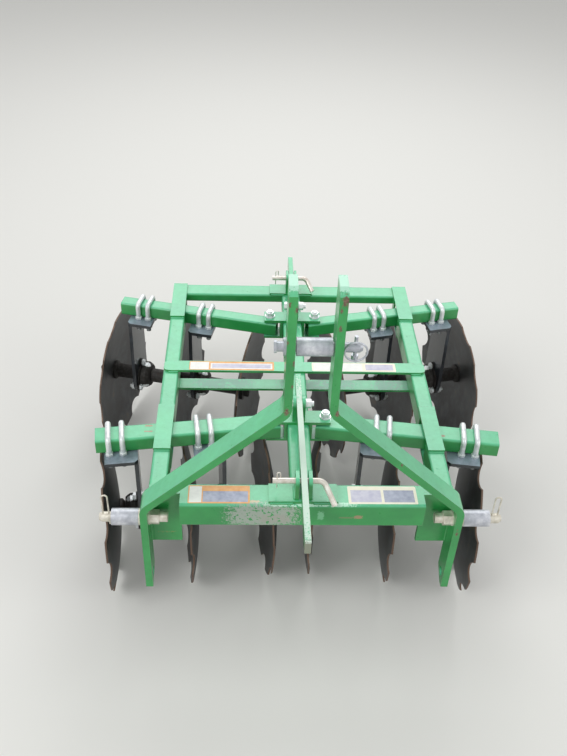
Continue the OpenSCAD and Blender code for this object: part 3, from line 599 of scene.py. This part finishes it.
# Each decal is one film, cut at the edges of its blocks of colour. A film is
# (left, front, right, back) on the machine, and a block the same in hundredths of it.
DECALS = {
    "decal_front_left": ((-242, 6, -112, 57), orange,
                         [((2, 5, 22, 95), white), ((24, 70, 97, 95), orange),
                          ((24, 8, 97, 68), slate)]),
    "decal_front_right": ((96, 6, 243, 57), cream,
                          [((4, 10, 48, 78), lavender), ((52, 10, 96, 78), slate)]),
    "decal_strap_left": ((-264, 452, -53, 486), orange,
                         [((1, 6, 23, 92), white), ((25, 14, 98, 80), white),
                          ((27, 24, 96, 70), lavender)]),
    "decal_strap_right": ((42, 452, 253, 486), cream,
                          [((2, 8, 60, 92), white), ((64, 16, 97, 82), lavender)]),
}
for name, ((x0, y0, x1, y1), ground, blocks) in DECALS.items():
    bpy.ops.object.select_all(action="DESELECT")
    bpy.ops.mesh.primitive_plane_add(size=1, location=at((x0 + x1) / 2, (y0 + y1) / 2, FILM_LIFT))
    film = bpy.context.object
    film.name = name
    film.scale = ((x1 - x0) * MM, (y1 - y0) * MM, 1)
    bpy.ops.object.transform_apply(location=True, rotation=False, scale=True)
    bpy.ops.object.mode_set(mode="EDIT")
    bpy.ops.mesh.select_all(action="SELECT")
    bpy.ops.mesh.bevel(offset=FILM_CORNER * MM, segments=4, affect="VERTICES")
    for (left, front, right, back), _ in blocks:
        for share in (left, right):
            bpy.ops.mesh.select_all(action="SELECT")
            bpy.ops.mesh.bisect(plane_co=at(x0 + (x1 - x0) * share / 100, 0, 0), plane_no=(1, 0, 0))
        for share in (front, back):
            bpy.ops.mesh.select_all(action="SELECT")
            bpy.ops.mesh.bisect(plane_co=at(0, y0 + (y1 - y0) * share / 100, 0), plane_no=(0, 1, 0))
    bpy.ops.object.mode_set(mode="OBJECT")
    inks = [ground] + [ink for _, ink in blocks]
    for ink in inks:
        film.data.materials.append(ink)
    low = at(x0, y0, 0)
    for face in film.data.polygons:
        across = (face.center.x - low.x) / ((x1 - x0) * MM) * 100
        deep = (face.center.y - low.y) / ((y1 - y0) * MM) * 100
        for number, ((left, front, right, back), _) in enumerate(blocks):
            if left < across < right and front < deep < back:
                face.material_index = number + 1
    thick = film.modifiers.new("film", "SOLIDIFY")
    thick.thickness = FILM_THICK * MM
    thick.offset = 1
    bpy.ops.object.modifier_apply(modifier="film")
    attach(film, "root")

# Stage

bpy.ops.mesh.primitive_plane_add(size=14, location=(0, 0, 0))
floor = bpy.context.object
floor.name = "floor"
pale, pale_tree, _ = new_finish("pale floor")
skin(pale_tree, {"Base Color": linear("#E4E4E0"), "Roughness": 0.9})
floor.data.materials.append(pale)

world = bpy.data.worlds.new("studio")
scene.world = world
world.use_nodes = True
sky = world.node_tree
sky.nodes.clear()
# the camera and mirror-like surfaces see a pale backdrop
ray = add(sky, "ShaderNodeLightPath")
seen = add(sky, "ShaderNodeMath", {0: ray.outputs["Is Camera Ray"], 1: ray.outputs["Is Glossy Ray"]},
           operation="MAXIMUM")
strength = add(sky, "ShaderNodeMapRange", {0: seen.outputs[0], 3: 0.55, 4: 0.92})
plain = add(sky, "ShaderNodeBackground", {"Color": linear("#FFFFFF"), "Strength": strength.outputs[0]})
add(sky, "ShaderNodeOutputWorld", {"Surface": plain.outputs[0]})


def soft_light(name, place, target, size, power):
    bpy.ops.object.light_add(type="AREA", location=place)
    lamp = bpy.context.object
    lamp.name = name
    lamp.data.shape = "SQUARE"
    lamp.data.size = size
    lamp.data.energy = power
    lamp.rotation_euler = (Vector(target) - Vector(place)).to_track_quat("-Z", "Y").to_euler()


soft_light("sky softbox", (0.2, 2.6, 3.2), (0, 0, 0.4), 2.6, 56)
soft_light("key softbox", (-2.4, -2.2, 3.4), (0, 0, 0.4), 1.8, 60)
soft_light("fill softbox", (2.8, -1.6, 2.2), (0, 0, 0.4), 1.8, 22)

# Camera

PHOTO_HIGH = 756
FOCAL_PX, YAW, PITCH, ROLL = 870.8, 3.21, 39.007, 2.674
eye = at(-123.8, -1241.5, 1350.6)
yaw, pitch, roll = (math.radians(v) for v in (YAW, PITCH, ROLL))
ahead = Vector((math.sin(yaw) * math.cos(pitch), math.cos(yaw) * math.cos(pitch), -math.sin(pitch)))
right = Vector((math.cos(yaw), -math.sin(yaw), 0))
above = right.cross(ahead)
right, above = (math.cos(roll) * right + math.sin(roll) * above,
                -math.sin(roll) * right + math.cos(roll) * above)
lens = bpy.data.cameras.new("camera")
lens.sensor_fit = "VERTICAL"
lens.sensor_height = 36
lens.lens = FOCAL_PX / PHOTO_HIGH * lens.sensor_height
lens.clip_start = 0.05
camera = bpy.data.objects.new("camera", lens)
bpy.context.collection.objects.link(camera)
camera.matrix_world = Matrix((
    (right.x, above.x, -ahead.x, eye.x),
    (right.y, above.y, -ahead.y, eye.y),
    (right.z, above.z, -ahead.z, eye.z),
    (0, 0, 0, 1)))
scene.camera = camera
scene.view_settings.view_transform = "Standard"

bpy.context.view_layer.update()
